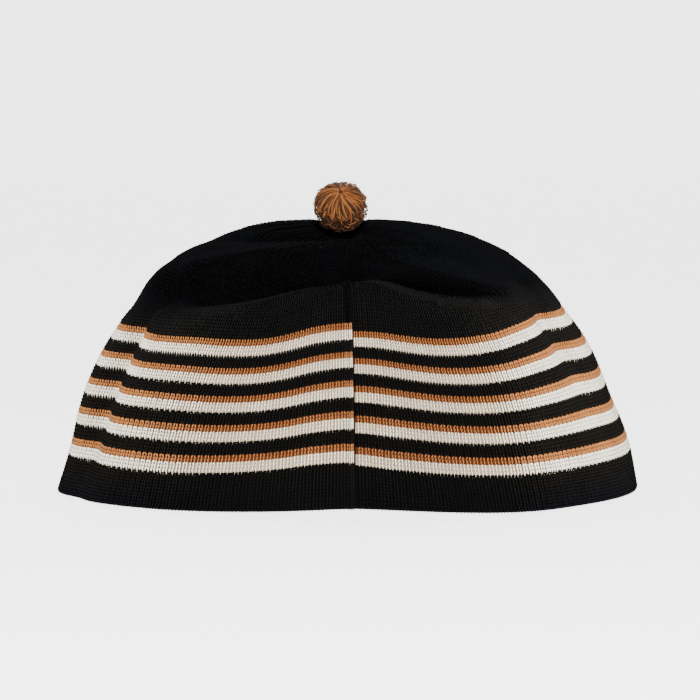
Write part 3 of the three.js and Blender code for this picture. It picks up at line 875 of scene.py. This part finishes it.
def tie_lines():
    rng = np.random.default_rng(3)
    middle = node_middle("pompom_tie")
    t = np.linspace(0, 1, tie_turns * 14)
    radius = 1.2 + 0.75 * np.sin(math.pi * np.clip(t * 0.8, 0, 1))
    turn = 2 * math.pi * tie_turns * t
    winding = np.stack([radius * np.cos(turn), radius * np.sin(turn), (t - 0.5) * tie_length], -1)
    core = np.array([(0, 0, -tie_length * 0.7), (0, 0, 0), (0, 0, tie_length * 0.7)])
    lines = [(middle + winding @ pompom_axes, tie_thread, 0), (middle + core @ pompom_axes, 1.3, 0)]
    for loop in range(26):
        turn = loop * 2.4 + rng.uniform(-0.3, 0.3)
        reach, side, height = rng.uniform(3.5, 8.5), rng.uniform(0.5, 1.4), rng.uniform(0.8, 2.2)
        t = np.linspace(0, 1, 9)
        along = 2.0 + (reach - 2.0) * np.sin(math.pi * t * 0.6)
        x = along * math.cos(turn) - side * np.sin(2 * math.pi * t) * math.sin(turn)
        y = along * math.sin(turn) + side * np.sin(2 * math.pi * t) * math.cos(turn)
        z = middle[2] - 1.2 + height * np.sin(math.pi * t)
        lines.append((np.stack([middle[0] + x, middle[1] + y, z], -1), rng.uniform(0.16, 0.3), 0))
    return lines


tie_yarn = yarn_material("tie_yarn", YARNS["black"]["lit"], YARNS["black"]["deep"], 0.02)
tie = spin("tie_thread", tie_lines(), tie_yarn)
face_map(tie.data)
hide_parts("pompom_tie")
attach(tie, "root")


# The pompom is a small ball of tan yarn. Its strands are laid from the pole down over the sides with a
# slight swirl, and below its middle they break up into curls and fine loose hairs.
pompom_radius = 9.4
pompom_flatness = 0.84
pompom_strands = 165
pompom_curls = 420
pompom_hairs = 320


pompom_middle = node_middle("pompom")


def on_pompom(from_pole, turn, reach):
    """Points of the pompom at angles in degrees and at a share of its radius."""
    polar, around = np.radians(from_pole), np.radians(turn)
    local = pompom_radius * np.asarray(reach)[..., None] * np.stack([
        np.sin(polar) * np.cos(around), np.sin(polar) * np.sin(around), pompom_flatness * np.cos(polar)], -1)
    return pompom_middle + local @ pompom_axes


def pompom_lines():
    rng = np.random.default_rng(11)
    lines = []
    for strand in range(pompom_strands):
        t = np.linspace(0, 1, 16)
        last = rng.uniform(48, 112)
        from_pole = 5 + (last - 5) * t
        bend = rng.uniform(-16, 16)
        turn = strand * 137.5 + rng.uniform(-4, 4) + 0.22 * from_pole + bend * np.sin(math.pi * t)
        layer = rng.uniform(0.87, 0.97)
        dip = 0.03 * bell(from_pole / 12) + 0.14 * np.clip((t - 0.86) / 0.14, 0, 1)
        wave = 0.020 * np.sin(from_pole / rng.uniform(6, 11) + rng.uniform(0, 6))
        line = on_pompom(from_pole, turn, layer - dip + wave)
        lines.append((line, rng.uniform(0.20, 0.29), rng.uniform(0.0, 0.95)))
    for curl in range(pompom_curls):
        t = np.linspace(0, 1, 9)
        from_pole, turn = rng.uniform(52, 165), rng.uniform(0, 360)
        size, heading = rng.uniform(6, 13), rng.uniform(0, 2 * math.pi)
        down = size * np.cos(math.pi * t) * math.cos(heading) + size * 0.5 * np.sin(math.pi * t)
        along = size * np.cos(math.pi * t) * math.sin(heading) / max(math.sin(math.radians(from_pole)), 0.3)
        reach = 0.82 + rng.uniform(0.08, 0.22) * np.sin(math.pi * t)
        line = on_pompom(np.clip(from_pole + down, 1, 178), turn + along, reach)
        lines.append((line, rng.uniform(0.15, 0.25), rng.uniform(0.0, 0.95)))
    for hair in range(pompom_hairs):
        t = np.linspace(0, 1, 5)
        from_pole, turn = rng.uniform(10, 165), rng.uniform(0, 360)
        lean = rng.uniform(-14, 14, 2)
        reach = 0.90 + rng.uniform(0.08, 0.17) * t
        line = on_pompom(from_pole + lean[0] * t**2, turn + lean[1] * t**2, reach)
        lines.append((line, np.linspace(0.06, 0.02, 5), 0.6))
    return lines


def pompom_material():
    """Tan yarn with painted shade: a deep reddish brown between the strands inside the ball and towards the
    neck.
    """
    material = yarn_material("pompom_yarn", (0.200, 0.0640, 0.0110), (0.022, 0.0072, 0.0010), 0.12)
    tree = material.node_tree
    place = add_node(tree, "ShaderNodeTexCoord")
    from_middle = add_node(tree, "ShaderNodeVectorMath", operation="SUBTRACT")
    from_middle.inputs[1].default_value = tuple(pompom_middle * MM)
    reach = add_node(tree, "ShaderNodeVectorMath", operation="LENGTH")
    along = add_node(tree, "ShaderNodeVectorMath", operation="DOT_PRODUCT")
    along.inputs[1].default_value = tuple(pompom_axes[2] / (pompom_radius * MM))
    tree.links.new(place.outputs["Object"], from_middle.inputs[0])
    tree.links.new(from_middle.outputs["Vector"], reach.inputs[0])
    tree.links.new(from_middle.outputs["Vector"], along.inputs[0])
    flattened = math_node(tree, "POWER", along.outputs["Value"], 2.0)
    flattened = math_node(tree, "MULTIPLY", flattened, 1 / pompom_flatness**2 - 1)
    round_reach = math_node(tree, "DIVIDE", reach.outputs["Value"], pompom_radius * MM)
    share = math_node(tree, "ADD", math_node(tree, "POWER", round_reach, 2.0), flattened)
    share = math_node(tree, "SQRT", share)
    # Painted shade: darker deeper inside the ball, and on its lower side towards the neck
    inner = add_node(tree, "ShaderNodeMapRange", "between the strands")
    socket_values(inner, From_Min=0.85, From_Max=0.97, To_Min=0.95, To_Max=0.0)
    neck = add_node(tree, "ShaderNodeMapRange", "towards the neck")
    socket_values(neck, From_Min=-0.35, From_Max=0.50, To_Min=0.65, To_Max=0.0)
    tree.links.new(share, inner.inputs["Value"])
    tree.links.new(along.outputs["Value"], neck.inputs["Value"])
    hollows = math_node(tree, "ADD", inner.outputs["Result"], neck.outputs["Result"])
    yarn = next(node for node in tree.nodes if node.label == "yarn")
    strand = yarn.inputs["Hollows"].links[0].from_socket
    tree.links.new(math_node(tree, "ADD", hollows, strand), yarn.inputs["Hollows"])
    return material


def pompom_core():
    """The tight middle of the ball, as one closed mesh."""
    from_pole = np.linspace(0, 180, 19)[1:-1]
    turns = np.arange(0, 360, 12)
    rings = [on_pompom(np.full(len(turns), angle), turns, 0.84) for angle in from_pole]
    points = np.concatenate(rings + [on_pompom(np.array([0.0, 180.0]), np.zeros(2), 0.84)])
    count = len(turns)
    faces = [[ring * count + i, (ring + 1) * count + i, (ring + 1) * count + (i + 1) % count,
              ring * count + (i + 1) % count] for ring in range(len(rings) - 1) for i in range(count)]
    top, bottom = len(points) - 2, len(points) - 1
    last = (len(rings) - 1) * count
    faces += [[top, i, (i + 1) % count] for i in range(count)]
    faces += [[bottom, last + (i + 1) % count, last + i] for i in range(count)]
    return mesh_from("pompom_core", points, faces)


pompom_yarn = pompom_material()
pompom = spin("pompom_strands", pompom_lines(), pompom_yarn)
# The core is painted dark by the pompom yarn, as shade in the middle of the ball
core = object_from("pompom_core", pompom_core())
core.data.materials.append(pompom_yarn)
with bpy.context.temp_override(active_object=pompom, selected_editable_objects=[pompom, core]):
    bpy.ops.object.join()
face_map(pompom.data)
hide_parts("pompom")
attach(pompom, "root")


# The floor is a pale sweep of paper under soft studio light: a key lamp and a wide fill in front of the
# cap, a weak cool lamp behind it on each side and one on the backdrop.
def paper_sweep():
    profile = [(-3.0, 0.0), (2.2, 0.0)]
    profile += [(2.2 + 1.2 * math.sin(t), 1.2 - 1.2 * math.cos(t)) for t in np.linspace(0.1, math.pi / 2, 12)]
    profile += [(3.4, 4.0)]
    points = [(x, y, z) for y, z in profile for x in (-4.0, 4.0)]
    faces = [[2 * i, 2 * i + 1, 2 * i + 3, 2 * i + 2] for i in range(len(profile) - 1)]
    return mesh_from("floor", np.array(points) / MM, faces)


def paper_material():
    material = bpy.data.materials.new("pale_paper")
    material.use_nodes = True
    tree = material.node_tree
    shader = tree.nodes["Principled BSDF"]
    socket_values(shader, Roughness=0.9, Specular_IOR_Level=0.1)
    socket_values(shader, Emission_Color=(1, 1, 1, 1), Emission_Strength=1.5)
    grain = socket_values(add_node(tree, "ShaderNodeTexNoise", "paper grain"), Scale=40.0, Detail=4.0)
    place = add_node(tree, "ShaderNodeTexCoord")
    tint = add_node(tree, "ShaderNodeMix", "paper", data_type="RGBA")
    tint.inputs["A"].default_value = (0.89, 0.89, 0.89, 1)
    tint.inputs["B"].default_value = (0.92, 0.92, 0.915, 1)
    tree.links.new(place.outputs["Object"], grain.inputs["Vector"])
    tree.links.new(grain.outputs["Fac"], tint.inputs["Factor"])
    tree.links.new(tint.outputs["Result"], shader.inputs["Base Color"])
    return material


floor = object_from("floor", paper_sweep())
floor.data.materials.append(paper_material())


def soft_lamp(name, place, size, power, colour, aim=(0.0, 0.0, 0.04)):
    data = bpy.data.lights.new(name, "AREA")
    data.shape = "RECTANGLE"
    data.size, data.size_y = size
    data.energy = power
    data.color = colour
    lamp = bpy.data.objects.new(name, data)
    lamp.location = place
    lamp.rotation_euler = (Vector(aim) - Vector(place)).to_track_quat("-Z", "Y").to_euler()
    bpy.context.scene.collection.objects.link(lamp)


soft_lamp("key lamp", (0.1, -1.5, 1.15), (0.4, 0.4), 114, (1.0, 0.985, 0.96))
soft_lamp("fill in front", (0.2, -2.2, 0.4), (1.6, 1.0), 50, (1.0, 0.985, 0.96))
soft_lamp("cool lamp behind on the left", (-1.1, 0.5, 0.8), (0.5, 0.5), 3, (0.86, 0.93, 1.0))
soft_lamp("cool lamp behind on the right", (1.1, 0.7, 0.9), (0.5, 0.5), 1, (0.86, 0.93, 1.0))
soft_lamp("lamp on the backdrop", (0.0, 1.6, 2.6), (2.0, 0.6), 90, (1.0, 1.0, 1.0), aim=(0.0, 3.0, 0.6))
world = bpy.data.worlds.new("studio")
world.use_nodes = True
socket_values(world.node_tree.nodes["Background"], Color=(1, 1, 1, 1), Strength=0.08)
bpy.context.scene.world = world
